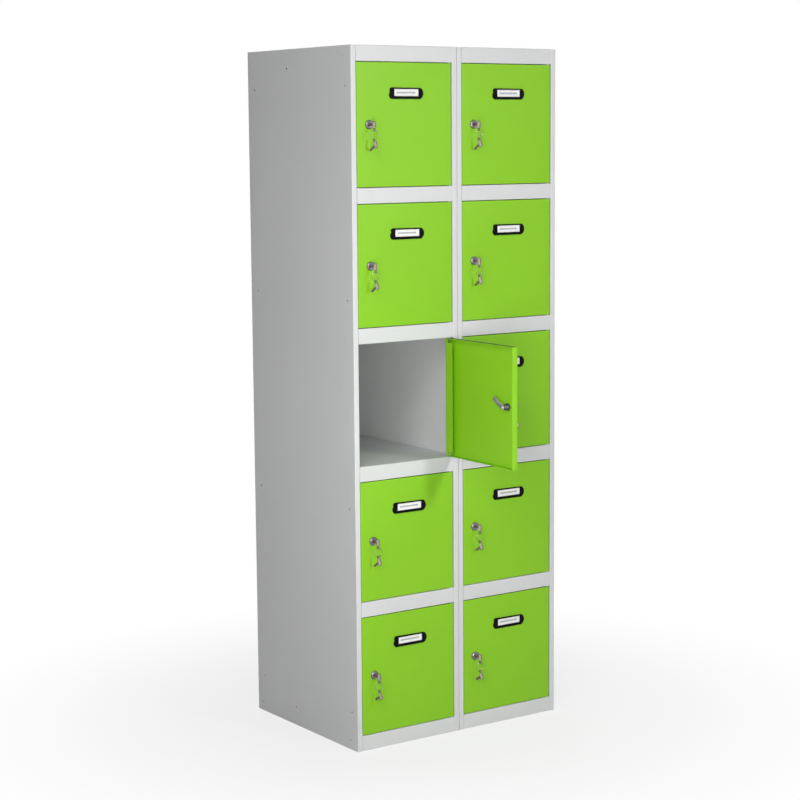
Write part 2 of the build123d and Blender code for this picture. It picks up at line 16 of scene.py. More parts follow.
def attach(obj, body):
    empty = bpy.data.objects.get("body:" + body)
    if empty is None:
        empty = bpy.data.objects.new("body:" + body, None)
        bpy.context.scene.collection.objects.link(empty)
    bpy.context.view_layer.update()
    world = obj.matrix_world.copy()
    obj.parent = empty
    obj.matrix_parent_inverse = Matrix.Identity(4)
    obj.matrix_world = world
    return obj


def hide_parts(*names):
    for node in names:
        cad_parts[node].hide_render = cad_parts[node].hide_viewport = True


MM = 0.001
COLUMNS = ("left", "right")
TIERS = range(1, 6)

# ---------------------------------------------------------------- sizes of a door's furniture
# Round things are given by their radius.
DOOR_FACE_MM = -5.5
DOOR_SHEET_MM = 1.0

LABEL_LEFT_MM = -187.6
LABEL_WIDTH_MM = 103.0
LABEL_HEIGHT_MM = 28.5
LABEL_THICKNESS_MM = 3.5
LABEL_CENTRE_MM = 233.0
LABEL_BULGE_MM = 9.5
LABEL_LOBE_MM = 6.5
LABEL_SMALL_LOBE_MM = 4.7
LABEL_NOTCH_MM = 3.0
LABEL_NOTCH_SHARE = 0.63  # height of the notch in the holder's height
LABEL_ROUND_MM = 1.1  # of the holder's outer edge
WINDOW_EDGE_MM = 0.35
WINDOW_CORNER_MM = 1.0
WINDOW_LEFT_MM = 13.8
WINDOW_WIDTH_MM = 76.0
WINDOW_HEIGHT_MM = 18.0
WINDOW_RAISE_MM = 1.5
CARD_MARGIN_MM = 1.5  # of the card behind the frame
CARD_THICK_MM = 0.4
CARD_CORNER_MM = 0.5
BAND_SIZE_MM = (57.0, 4.2)
BAND_CORNER_MM = 0.6
BAND_RAISE_MM = 0.06
BAND_SINK_MM = 0.02

LOCK_X_MM = -248.6
LOCK_Z_MM = 155.0
BEZEL_MM = 11.6
BEZEL_HEIGHT_MM = 5.0
BEZEL_BORE_MM = 7.8  # where the bezel's slope ends and the lock's face starts
BARREL_MM = 7.0
BARREL_BACK_MM = 12.6
THREAD_DEPTH_MM = 0.35
THREAD_PITCH_MM = 1.0
NUT_ACROSS_MM = 19.0
NUT_HEIGHT_MM = 4.0
NUT_EDGE_MM = 0.4
PLUG_MM = 4.5
PLUG_GAP_MM = 0.05
PLUG_RECESS_MM = 0.4
PLUG_EDGE_MM = 0.3
KEYWAY_GAP_MM = 0.1
KEYWAY_EDGE_MM = 0.2
CAM_FRONT_MM = 13.0
CAM_THICK_MM = 2.0
CAM_WIDTH_MM = 12.5
CAM_REACH_MM = 43.0
CAM_CORNER_MM = 1.5
CAM_EDGE_SHARE = 0.72  # thickness of the cam's long edges in that of its middle
CAM_CROWN_POWER = 2.2
TAIL_MM = 6.0  # side of the square that the cam sits on
SCREW_MM = 4.5
SCREW_SOCKET_MM = 1.7

KEY_THICK_MM = 2.0
KEY_HOLE_MM = 2.5
KEY_NECK_MM = 11.5  # of the blade, outside the lock
BLADE_DEPTH_MM = 11.0  # of the blade, inside the lock
BLADE_HEIGHT_MM = 6.6
BOW_MIDDLE_MM = -28.25
BOW_LENGTH_MM = 12.5
BOW_ABOVE_MM = 8.6  # above the blade's middle
BOW_SHOULDER_MM = 7.5  # below the blade's middle
BOW_CHAMFER_MM = 3.0
BOW_CORNER_MM = 0.6
BOW_AREA_MM2 = 283.7
BOW_BALANCE_MM = 9.55  # of the bow's centre above the eye
EYE_BELOW_MM = 12.8  # below the blade's middle
EYE_ROUND_MM = 4.4
KEY_CUTS_MM = (  # along the blade from its neck, and how deep
    (0.85, 0.0), (1.95, 1.6), (2.75, 1.6), (3.75, 0.4), (4.75, 2.1), (5.55, 2.1),
    (6.55, 0.7), (7.55, 1.3), (8.35, 1.3), (9.35, 0.2), (9.95, 0.2),
)
TIP_BELOW_MM, TIP_ABOVE_MM = 1.2, 1.6  # of the blade's middle
TIP_SLOPE_MM = 1.7
KEY_EDGE_MM = 0.22
GRIP_RAISE_MM = 0.2
GRIP_RIM_MM = 1.4
RING_MM = 11.5
RING_WIRE_MM = 0.7  # of the ring as a whole
RING_TURNS = 1.9
TURN_WIRE_MM = 0.37
TURN_PITCH_MM = 0.75
SEAT_GAP_MM = 0.35  # between the ring and the edge of a key's hole

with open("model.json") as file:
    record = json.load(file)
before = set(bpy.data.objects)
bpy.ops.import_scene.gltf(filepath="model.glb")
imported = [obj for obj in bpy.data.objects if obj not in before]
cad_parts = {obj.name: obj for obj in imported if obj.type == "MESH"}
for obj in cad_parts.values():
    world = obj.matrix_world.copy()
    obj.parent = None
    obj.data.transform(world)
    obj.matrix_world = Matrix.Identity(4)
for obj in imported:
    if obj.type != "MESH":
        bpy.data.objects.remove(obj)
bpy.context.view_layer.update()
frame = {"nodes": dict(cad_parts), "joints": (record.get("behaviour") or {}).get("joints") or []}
nodes = frame["nodes"]
joints = {joint["name"]: joint for joint in frame["joints"]}


# ---------------------------------------------------------------- shader maths
class Value:
    """A number or colour that comes out of a node."""

    def __init__(self, tree, socket):
        self.tree, self.socket = tree, socket

    def _math(self, operation, *values, clamp=False):
        settings = {"operation": operation, "use_clamp": clamp}
        return self.tree.node("ShaderNodeMath", settings, *values)["Value"]

    def __add__(self, other):
        return self._math("ADD", self, other)

    def __radd__(self, other):
        return self._math("ADD", other, self)

    def __sub__(self, other):
        return self._math("SUBTRACT", self, other)

    def __rsub__(self, other):
        return self._math("SUBTRACT", other, self)

    def __mul__(self, other):
        return self._math("MULTIPLY", self, other)

    def __rmul__(self, other):
        return self._math("MULTIPLY", other, self)

    def clamped(self):
        """The number held between 0 and 1."""
        return self._math("ADD", self, 0.0, clamp=True)

    def between(self, low, high):
        """0 below low, 1 above high and a smooth rise between them."""
        settings = {"interpolation_type": "SMOOTHSTEP"}
        values = {"Value": self, "From Min": low, "From Max": high}
        return self.tree.node("ShaderNodeMapRange", settings, **values)["Result"]


class Sockets:
    """The outputs of one node, by name."""

    def __init__(self, tree, made):
        self.tree, self.made = tree, made

    def __getitem__(self, name):
        return Value(self.tree, self.made.outputs[name])


class Nodes:
    """A tree of shader nodes."""

    def __init__(self, tree):
        self.tree = tree
        tree.nodes.clear()

    def node(self, kind, settings, *values, **named):
        """Adds a node: settings first, then the values or links of its sockets."""
        made = self.tree.nodes.new(kind)
        for key, value in settings.items():
            setattr(made, key, value)
        for key, value in [*enumerate(values), *named.items()]:
            self.feed(made.inputs[key.replace("_", " ") if isinstance(key, str) else key], value)
        return Sockets(self, made)

    def feed(self, socket, value):
        """Links a value to a socket, or sets the socket to a plain number or colour."""
        if isinstance(value, Value):
            self.tree.links.new(value.socket, socket)
        else:
            socket.default_value = value

    def seen_directly(self):
        """1 for the camera, in reflections and through glass, and 0 for light that falls."""
        path = self.node("ShaderNodeLightPath", {})
        return (path["Is Camera Ray"] + path["Is Glossy Ray"]
                + path["Is Transmission Ray"]).clamped()


class Finish(Nodes):
    """A node-based material around one Principled shader."""

    def __init__(self, name, **fixed):
        self.material = bpy.data.materials.new(name)
        self.material.use_nodes = True
        super().__init__(self.material.node_tree)
        self.shader = self.tree.nodes.new("ShaderNodeBsdfPrincipled")
        self.output = self.tree.nodes.new("ShaderNodeOutputMaterial")
        self.tree.links.new(self.shader.outputs["BSDF"], self.output.inputs["Surface"])
        for socket, value in fixed.items():
            self.shader.inputs[socket.replace("_", " ")].default_value = value
        self.where = self.node("ShaderNodeTexCoord", {})["Object"]

    def noise(self, scale, detail, roughness=0.5, stretch=None):
        """Noise from about 0 to 1 with features of 1/scale metres."""
        where = self.where
        if stretch:
            where = self.node("ShaderNodeMapping", {}, where, Scale=stretch)["Vector"]
        values = {"Vector": where, "Scale": scale, "Detail": detail, "Roughness": roughness}
        return self.node("ShaderNodeTexNoise", {}, **values)["Fac"]

    def mix(self, factor, first, second):
        """A colour between two colours."""
        made = self.tree.nodes.new("ShaderNodeMix")
        made.data_type = "RGBA"
        sockets = [s for s in made.inputs if s.enabled]
        for socket, value in zip(sockets, (factor, first, second)):
            self.feed(socket, value)
        return Value(self, next(s for s in made.outputs if s.enabled))

    def drive(self, socket, value):
        """Feeds a socket of the shader."""
        self.tree.links.new(value.socket, self.shader.inputs[socket])

    def bump(self, height, depth, strength):
        """Raises the surface by height times depth metres."""
        values = {"Strength": strength, "Distance": depth, "Height": height}
        self.drive("Normal", self.node("ShaderNodeBump", {}, **values)["Normal"])


def shade(colour, factor):
    """A colour made lighter or darker by a factor, opaque."""
    return (*(min(1.0, channel * factor) for channel in colour), 1.0)


# ---------------------------------------------------------------- finishes
# width of the painted shade in the groove between the two columns
SEAM_SHADE_MM = 1.3


def powder_coat(name, colour, roughness, dust, seam=False):
    """Baked powder coat on steel: orange peel, faint blotches and smears. With a seam, painted
    shade darkens the groove where the two columns meet."""
    finish = Finish(name, IOR=1.5)
    cloud = finish.noise(2.3, 3.0, 0.55)
    speckle = finish.noise(260.0, 2.0, 0.6)
    tone = (0.65 * cloud + 0.35 * speckle).between(0.25, 0.75)
    smears = finish.noise(7.0, 4.0, 0.6, stretch=(1.0, 1.0, 0.35)).between(0.58, 0.8)
    body = finish.mix(tone, shade(colour, 0.965), shade(colour, 1.025))
    dusty = shade(tuple(0.6 * channel + 0.12 for channel in colour), 1.0)
    worn_and_seam_shaded = finish.mix(smears * dust, body, dusty)
    # painted shade: the coat is darkened in a strip along the seam's groove, where shade falls
    if seam:
        across = finish.node("ShaderNodeSeparateXYZ", {}, finish.where)["X"]
        off_seam = finish.node("ShaderNodeMath", {"operation": "ABSOLUTE"}, across)["Value"]
        outside_seam_shade = off_seam.between(0.0, SEAM_SHADE_MM * MM)
        worn_and_seam_shaded = finish.mix(outside_seam_shade, shade(colour, 0.45), worn_and_seam_shaded)
    finish.drive("Base Color", worn_and_seam_shaded)
    gloss_noise = finish.noise(30.0, 3.0, 0.6)
    finish.drive("Roughness", roughness + 0.10 * (gloss_noise - 0.5) + 0.12 * smears)
    peel = finish.noise(900.0, 2.0, 0.55)
    finish.bump(peel, 0.09 * MM, 0.35)
    return finish.material


def metal(name, colour, roughness, scratch_stretch, brushed=0.0, metallic=1.0):
    """Plated metal with fine scratches and dull patches. Less metallic means tarnished."""
    finish = Finish(name, Metallic=metallic)
    patches = finish.noise(120.0, 3.0, 0.6)
    scratches = finish.noise(700.0, 3.0, 0.65, stretch=scratch_stretch)
    tone = (0.5 * patches + 0.5 * scratches).between(0.3, 0.72)
    finish.drive("Base Color", finish.mix(tone, shade(colour, 0.86), shade(colour, 1.06)))
    finish.drive("Roughness", (roughness + (0.12 + brushed) * (scratches - 0.45)).clamped())
    finish.bump(scratches, 0.02 * MM, 0.25 + brushed)
    return finish.material


def moulded(name, colour, roughness, grain_depth):
    """Moulded plastic with a fine spark-eroded grain."""
    finish = Finish(name, IOR=1.48, Specular_IOR_Level=0.06)
    grain = finish.noise(1400.0, 2.0, 0.6)
    cloud = finish.noise(45.0, 2.0, 0.5)
    finish.drive("Base Color", finish.mix(cloud, shade(colour, 0.88), shade(colour, 1.12)))
    finish.drive("Roughness", roughness + 0.12 * (grain - 0.5) + 0.06 * (cloud - 0.5))
    finish.bump(grain, grain_depth, 0.5)
    return finish.material


def card_stock(name, colour):
    """Matt card with fibres."""
    finish = Finish(name, Roughness=0.8, IOR=1.4)
    fibres = finish.noise(1800.0, 3.0, 0.7, stretch=(1.0, 1.0, 0.4))
    finish.drive("Base Color", finish.mix(fibres, shade(colour, 0.96), shade(colour, 1.03)))
    finish.bump(fibres, 0.03 * MM, 0.3)
    return finish.material


GREY = (0.715, 0.72, 0.725)
GREEN = (0.245, 0.58, 0.006)
grey_coat = powder_coat("grey_powder_coat", GREY, 0.46, 0.10)
# the centre walls' coat, with painted shade in the seam's groove
seam_shaded_coat = powder_coat("grey_powder_coat_at_the_seam", GREY, 0.46, 0.10, seam=True)
green_coat = powder_coat("green_powder_coat", GREEN, 0.50, 0.06)
# near-black green: painted shade on the doors' top and bottom flanges
shade_painted_green = powder_coat("green_coat_on_door_ends", (0.012, 0.022, 0.004), 0.60, 0.0)
# a lighter copy of the door green: painted light on the doors' inner sides
lit_inner_green = powder_coat("green_coat_inside_doors", (0.285, 0.655, 0.010), 0.46, 0.06)
bezel_chrome = metal("bezel_chrome", (0.21, 0.20, 0.21), 0.32, (1.0, 1.0, 1.0))
face_chrome = metal("lock_face", (0.19, 0.18, 0.18), 0.34, (1.0, 1.0, 0.15))
cam_steel = metal("cam_steel", (0.80, 0.78, 0.80), 0.26, (0.2, 1.0, 1.0), 0.1)
barrel_zinc = metal("barrel_zinc", (0.09, 0.09, 0.09), 0.36, (1.0, 0.2, 1.0))
nut_zinc = metal("nut_zinc", (0.30, 0.31, 0.28), 0.16, (1.0, 0.2, 1.0))
screw_steel = metal("cam_screw", (0.50, 0.50, 0.51), 0.26, (1.0, 1.0, 1.0))
key_nickel = metal("key_nickel", (0.70, 0.54, 0.56), 0.45, (1.0, 0.3, 1.0), 0.1, 0.15)
key_dark = metal("key_dark", (0.20, 0.125, 0.15), 0.36, (1.0, 0.3, 1.0), 0.0, 0.2)
ring_steel = metal("ring_steel", (0.30, 0.28, 0.25), 0.26, (1.0, 1.0, 1.0))
zinc_plate = metal("zinc_plate", (0.40, 0.41, 0.42), 0.36, (1.0, 1.0, 0.3), 0.1)
black_plastic = moulded("black_plastic", (0.003, 0.003, 0.0035), 0.42, 0.04 * MM)
white_nylon = moulded("white_nylon", (0.83, 0.83, 0.81), 0.45, 0.02 * MM)
card_white = card_stock("card_white", (0.97, 0.97, 0.97))
card_grey = card_stock("card_grey", (0.50, 0.50, 0.51))


# ---------------------------------------------------------------- mesh helpers
def in_scene(name, data):
    """A new object in the scene."""
    made = bpy.data.objects.new(name, data)
    bpy.context.scene.collection.objects.link(made)
    return made


def shade_smooth(mesh, below):
    """Smooth shading, but for edges where faces meet at more than an angle in degrees."""
    mesh.polygons.foreach_set("use_smooth", [True] * len(mesh.polygons))
    mesh.set_sharp_from_angle(angle=math.radians(below))


def piece_from(name, builder, finishes, smooth_below=35.0):
    """Turns a bmesh into an object."""
    mesh = bpy.data.meshes.new(name)
    builder.to_mesh(mesh)
    builder.free()
    for finish in finishes:
        mesh.materials.append(finish)
    shade_smooth(mesh, smooth_below)
    return in_scene(name, mesh)


def slab(outlines, low, high, bevels=()):
    """A plate with holes, from outlines of (x, z) points in millimetres: the outer one first.
    It lies from y low to y high, and its front faces -Y. bevels holds the chamfers of
    the outlines' front edges in millimetres, or nothing."""
    builder = bmesh.new()
    loops = []
    for outline in outlines:
        ring = [builder.verts.new((x, low, z)) for x, z in outline]
        loops.append([builder.edges.new(pair) for pair in zip(ring, ring[1:] + ring[:1])])
    bmesh.ops.triangle_fill(builder, edges=[edge for loop in loops for edge in loop],
                            use_beauty=True, use_dissolve=False)
    bmesh.ops.dissolve_limit(builder, angle_limit=0.01, verts=builder.verts, edges=builder.edges)
    for face in builder.faces:
        if face.normal.y > 0:
            face.normal_flip()
    front_edges = [[edge for edge in loop if edge.is_valid] for loop in loops]
    front = list(builder.faces)
    back = bmesh.ops.extrude_face_region(builder, geom=front, use_keep_orig=True)
    moved = [item for item in back["geom"] if isinstance(item, bmesh.types.BMVert)]
    bmesh.ops.translate(builder, verts=moved, vec=(0, high - low, 0))
    bmesh.ops.recalc_face_normals(builder, faces=builder.faces)
    for loop, size in zip(front_edges, bevels):
        bmesh.ops.bevel(builder, geom=loop, offset=size, segments=3, profile=0.6,
                        affect="EDGES", clamp_overlap=True)
    return builder


def spun(profile, axis_x, axis_z, steps=64):
    """A turned shape from (radius, y) points in millimetres, about a line along Y."""
    builder = bmesh.new()
    points = [builder.verts.new((axis_x + radius, y, axis_z)) for radius, y in profile]
    edges = [builder.edges.new(pair) for pair in zip(points, points[1:])]
    bmesh.ops.spin(builder, geom=points + edges, cent=(axis_x, 0, axis_z), axis=(0, 1, 0),
                   angle=math.tau, steps=steps)
    bmesh.ops.remove_doubles(builder, verts=builder.verts, dist=0.001)
    bmesh.ops.recalc_face_normals(builder, faces=builder.faces)
    return builder


def around(centre, radius, turn):
    """The point on a circle in the XZ plane at an angle."""
    return (centre[0] + radius * math.cos(turn), centre[1] + radius * math.sin(turn))


def polygon(centre, radius, sides):
    """Corners of a regular polygon in the XZ plane."""
    step = math.tau / sides
    return [around(centre, radius, i * step) for i in range(sides)]


def arc(centre, radius, start, end, steps):
    """Points on a circle's arc in the XZ plane, with angles in degrees."""
    turns = [math.radians(start + (end - start) * i / steps) for i in range(steps + 1)]
    return [around(centre, radius, turn) for turn in turns]


def rounded_box(centre, width, height, radius, steps=4):
    """A rectangle with rounded corners in the XZ plane."""
    points = []
    for sx, sz, start in ((1, 1, 0), (-1, 1, 90), (-1, -1, 180), (1, -1, 270)):
        corner = (centre[0] + sx * (width / 2 - radius), centre[1] + sz * (height / 2 - radius))
        points += arc(corner, radius, start, start + 90, steps)
    return points


# ---------------------------------------------------------------- where each door is
class Door:
    """One door: its frame in the cabinet, and the turn of its lock at rest."""

    def __init__(self, name):
        self.name = name
        hinge = joints[f"{name}_door_hinge"]
        lock = joints[f"{name}_lock_turn"]
        swing = math.atan2(lock["axis"][0], -lock["axis"][1])
        self.turn = math.radians(-lock["range_deg"][0])
        self.place = (
            Matrix.Translation(Vector(hinge["pos_m"]))
            @ Matrix.Rotation(swing, 4, "Z")
            @ Matrix.Scale(MM, 4)
        )
        self.lock_turn = (
            Matrix.Translation((LOCK_X_MM, 0, LOCK_Z_MM))
            @ Matrix.Rotation(self.turn, 4, (0, -1, 0))
            @ Matrix.Translation((-LOCK_X_MM, 0, -LOCK_Z_MM))
        )

    def put(self, master, part, extra=Matrix.Identity(4)):
        """A copy of a master piece in this door's place, with the place in its mesh."""
        mesh = master.data.copy()
        mesh.transform(self.place @ extra)
        return in_scene(f"{self.name}_{part}", mesh)


doors = [Door(f"{column}_{tier}") for column in COLUMNS for tier in TIERS]


# ---------------------------------------------------------------- label holder
def arc_through(start, middle, end, steps):
    """Points on the circle's arc through three points, without its last one."""
    (ax, az), (bx, bz), (cx, cz) = start, middle, end
    twice = 2 * (ax * (bz - cz) + bx * (cz - az) + cx * (az - bz))
    a2, b2, c2 = ax**2 + az**2, bx**2 + bz**2, cx**2 + cz**2
    x = (a2 * (bz - cz) + b2 * (cz - az) + c2 * (az - bz)) / twice
    z = (a2 * (cx - bx) + b2 * (ax - cx) + c2 * (bx - ax)) / twice
    radius = math.dist(start, (x, z))
    first, mid, last = (math.atan2(pz - z, px - x) for px, pz in (start, middle, end))
    turn = (last - first) % math.tau
    if (mid - first) % math.tau > turn:
        turn -= math.tau
    return [around((x, z), radius, first + turn * i / steps) for i in range(steps)]


def label_outline():
    """The holder's outline: a round right end, and two lobes beside a notch on the left."""
    left, right = LABEL_LEFT_MM, LABEL_LEFT_MM + LABEL_WIDTH_MM
    low, high = LABEL_CENTRE_MM - LABEL_HEIGHT_MM / 2, LABEL_CENTRE_MM + LABEL_HEIGHT_MM / 2
    notch = (left + LABEL_NOTCH_MM, low + LABEL_NOTCH_SHARE * LABEL_HEIGHT_MM)
    straight_left, straight_right = left + LABEL_LOBE_MM, right - LABEL_BULGE_MM
    small_lobe = (straight_left - LABEL_SMALL_LOBE_MM, (notch[1] + high) / 2)
    large_lobe = (left, (notch[1] + low) / 2)
    round_end = (right, LABEL_CENTRE_MM)
    points = arc_through((straight_right, low), round_end, (straight_right, high), 16)
    points += arc_through((straight_left, high), small_lobe, notch, 10)
    points += arc_through(notch, large_lobe, (straight_left, low), 12)
    return points + [(straight_left, low)]


def label_masters():
    """The label holder's frame, its card and the band on the card."""
    middle = (LABEL_LEFT_MM + WINDOW_LEFT_MM + WINDOW_WIDTH_MM / 2,
              LABEL_CENTRE_MM + WINDOW_RAISE_MM)
    window = rounded_box(middle, WINDOW_WIDTH_MM, WINDOW_HEIGHT_MM, WINDOW_CORNER_MM)
    holder = slab([label_outline(), window], DOOR_FACE_MM - LABEL_THICKNESS_MM, DOOR_FACE_MM,
                  bevels=(LABEL_ROUND_MM, WINDOW_EDGE_MM))
    card_edge = rounded_box(middle, WINDOW_WIDTH_MM + 2 * CARD_MARGIN_MM,
                            WINDOW_HEIGHT_MM + 2 * CARD_MARGIN_MM, CARD_CORNER_MM, 2)
    card_face = DOOR_FACE_MM - CARD_THICK_MM
    card = slab([card_edge], card_face, DOOR_FACE_MM)
    band = slab([rounded_box(middle, *BAND_SIZE_MM, BAND_CORNER_MM, 3)],
                card_face - BAND_RAISE_MM, card_face + BAND_SINK_MM)
    return {
        "label_frame": piece_from("label_frame", holder, [black_plastic]),
        "label_card": piece_from("label_card", card, [card_white]),
        "label_band": piece_from("label_band", band, [card_grey]),
    }


# ---------------------------------------------------------------- lock
def lock_masters():
    """The pieces of the lock that stay with the door, and the plug that turns in them."""
    face = DOOR_FACE_MM - BEZEL_HEIGHT_MM
    bore = PLUG_MM + PLUG_GAP_MM
    bezel_profile = [
        (BARREL_MM, DOOR_FACE_MM),
        (BEZEL_MM - 0.3, DOOR_FACE_MM),
        (BEZEL_MM, DOOR_FACE_MM - 0.3),
        (BEZEL_MM, DOOR_FACE_MM - 1.5),
        (BEZEL_MM - 0.25, DOOR_FACE_MM - 2.3),
        (BEZEL_MM - 0.9, DOOR_FACE_MM - 3.2),
        (BEZEL_MM - 1.9, DOOR_FACE_MM - 4.1),
        (BEZEL_MM - 2.9, face),
        (BEZEL_MM - 3.4, face + 0.05),
        (BEZEL_BORE_MM, face + 0.35),
    ]
    face_profile = [
        (BEZEL_BORE_MM, face + 0.35),
        (PLUG_MM + 1.2, face + 0.5),
        (PLUG_MM + 0.9, face + 0.15),
        (bore, face + 0.15),
        (bore, face + 1.2),
    ]
    barrel_profile = [(bore, face + 1.2), (bore, BARREL_BACK_MM),
                      (BARREL_MM - 0.4, BARREL_BACK_MM), (BARREL_MM, BARREL_BACK_MM - 0.4)]
    thread_start = DOOR_FACE_MM + DOOR_SHEET_MM
    ridge = BARREL_BACK_MM - THREAD_PITCH_MM
    while ridge > thread_start + THREAD_PITCH_MM:
        barrel_profile += [(BARREL_MM, ridge),
                           (BARREL_MM - THREAD_DEPTH_MM, ridge - THREAD_PITCH_MM / 2)]
        ridge -= THREAD_PITCH_MM
    barrel_profile += [(BARREL_MM, thread_start), (BARREL_MM, DOOR_FACE_MM)]
    lock = (LOCK_X_MM, LOCK_Z_MM)
    nut = slab([polygon(lock, NUT_ACROSS_MM / math.sqrt(3), 6), polygon(lock, BARREL_MM, 40)],
               thread_start, thread_start + NUT_HEIGHT_MM)
    # the nut's own edges are longer than those of its round bore
    bmesh.ops.bevel(nut, geom=[edge for edge in nut.edges if edge.calc_length() > BARREL_MM - 1],
                    offset=NUT_EDGE_MM, segments=2, affect="EDGES", profile=0.5)
    keyway = rounded_box(lock, KEY_THICK_MM + 2 * KEYWAY_GAP_MM,
                         BLADE_HEIGHT_MM + 2 * KEYWAY_GAP_MM, 0.3, 2)
    plug = slab([polygon(lock, PLUG_MM, 48), keyway], face + PLUG_RECESS_MM, CAM_FRONT_MM,
                bevels=(PLUG_EDGE_MM, KEYWAY_EDGE_MM))
    return {
        "bezel": piece_from("bezel", spun(bezel_profile, *lock), [bezel_chrome]),
        "lock_face": piece_from("lock_face", spun(face_profile, *lock), [face_chrome]),
        "barrel": piece_from("barrel", spun(barrel_profile, *lock, 40), [barrel_zinc]),
        "lock_nut": piece_from("lock_nut", nut, [nut_zinc]),
    }, {"plug": piece_from("plug", plug, [face_chrome])}


def cam_masters():
    """The cam, pointing to the hinge, and its screw."""
    x, z = LOCK_X_MM, LOCK_Z_MM
    half, corner, reach = CAM_WIDTH_MM / 2, CAM_CORNER_MM, CAM_REACH_MM
    back = CAM_FRONT_MM + CAM_THICK_MM
    ends = [-half * math.cos(math.pi / 2 * i / 12) for i in range(13)]
    ends += [8.0, 16.0, 24.0, 32.0, reach - corner]
    ends += [reach - corner * (1 - math.sin(math.pi / 2 * i / 4)) for i in range(1, 5)]
    # the punched sheet is crowned across its width, and its edges are rolled over
    across = [-1.0, -0.94, -0.75, -0.4, 0.0, 0.4, 0.75, 0.94, 1.0]
    crown = [CAM_THICK_MM * (1 - (1 - CAM_EDGE_SHARE) * abs(t) ** CAM_CROWN_POWER)
             for t in across]
    cam = bmesh.new()
    rows = []
    for along in ends:
        # a round end by the screw and rounded corners at the tip, neither of no width
        if along <= 0:
            wide = math.sqrt(max(half**2 - along**2, 0.04))
        else:
            tip = max(along - (reach - corner), 0)
            wide = half - corner + math.sqrt(max(corner**2 - tip**2, 0.01))
        outer = [cam.verts.new((x + along, CAM_FRONT_MM + height, z + wide * t))
                 for t, height in zip(across, crown)]
        inner = [cam.verts.new((x + along, CAM_FRONT_MM, z + wide * t)) for t in across[::-1]]
        rows.append(outer + inner)
    for one, two in zip(rows, rows[1:]):
        for i in range(len(one)):
            j = (i + 1) % len(one)
            cam.faces.new((one[i], one[j], two[j], two[i]))
    cam.faces.new(rows[0][::-1])
    cam.faces.new(rows[-1])
    bmesh.ops.recalc_face_normals(cam, faces=cam.faces)
    tail = slab([rounded_box((x, z), TAIL_MM, TAIL_MM, 0.3, 2)], CAM_FRONT_MM, back)
    head = [
        (0.0, back),
        (SCREW_MM, back),
        (SCREW_MM, back + 1.2),
        (SCREW_MM - 0.4, back + 1.9),
        (SCREW_MM - 1.3, back + 2.4),
        (SCREW_SOCKET_MM + 0.1, back + 2.6),
        (SCREW_SOCKET_MM, back + 1.4),
        (0.0, back + 1.4),
    ]
    return {
        "cam": piece_from("cam", cam, [cam_steel]),
        "plug_tail": piece_from("plug_tail", tail, [face_chrome]),
        "cam_screw": piece_from("cam_screw", spun(head, x, z, 40), [screw_steel]),
    }


# ---------------------------------------------------------------- keys and ring
def key_master():
    """A key in its own plane: X along the blade to the tip, Z away from the eye, Y across. The
    eye is the round hole in the bow, and its middle is the origin."""
    half, chamfer, corner, rim = BOW_LENGTH_MM / 2, BOW_CHAMFER_MM, BOW_CORNER_MM, GRIP_RIM_MM
    top, shoulder = EYE_BELOW_MM + BOW_ABOVE_MM, EYE_BELOW_MM - BOW_SHOULDER_MM
    low, high = EYE_BELOW_MM - BLADE_HEIGHT_MM / 2, EYE_BELOW_MM + BLADE_HEIGHT_MM / 2
    neck, tip = half + KEY_NECK_MM, half + KEY_NECK_MM + BLADE_DEPTH_MM
    outline = [
        (half, top - corner), (half - corner, top),
        (-half + chamfer, top), (-half, top - chamfer),
        (-half, shoulder), *arc((0.0, 0.0), EYE_ROUND_MM, 150, 390, 18),
        (half, shoulder), (half, low), (neck, low),
        *((neck + along, low + depth) for along, depth in KEY_CUTS_MM),
        (tip, EYE_BELOW_MM - TIP_BELOW_MM), (tip, EYE_BELOW_MM + TIP_ABOVE_MM),
        (tip - TIP_SLOPE_MM, high), (half, high),
    ]
    face = KEY_THICK_MM / 2
    flat = face - GRIP_RAISE_MM
    key = slab([outline, polygon((0, 0), KEY_HOLE_MM, 28)], -flat, flat)
    rims = [edge for edge in key.edges if abs(edge.verts[0].co.y - edge.verts[1].co.y) < 0.01]
    bmesh.ops.bevel(key, geom=rims, offset=KEY_EDGE_MM, segments=2, affect="EDGES",
                    profile=0.6)
    # the raised grip on both faces of the bow
    grip = [(-half + rim, KEY_HOLE_MM + rim), (half - rim, KEY_HOLE_MM + rim),
            (half - rim, top - rim), (-half + chamfer, top - rim), (-half + rim, top - chamfer)]
    for span in ((-face, -flat), (flat, face)):
        plate = slab([grip], *span)
        for side in plate.faces:
            side.material_index = 1
        plate_mesh = bpy.data.meshes.new("grip")
        plate.to_mesh(plate_mesh)
        plate.free()
        key.from_mesh(plate_mesh)
        bpy.data.meshes.remove(plate_mesh)
    return piece_from("key", key, [key_dark, key_nickel])


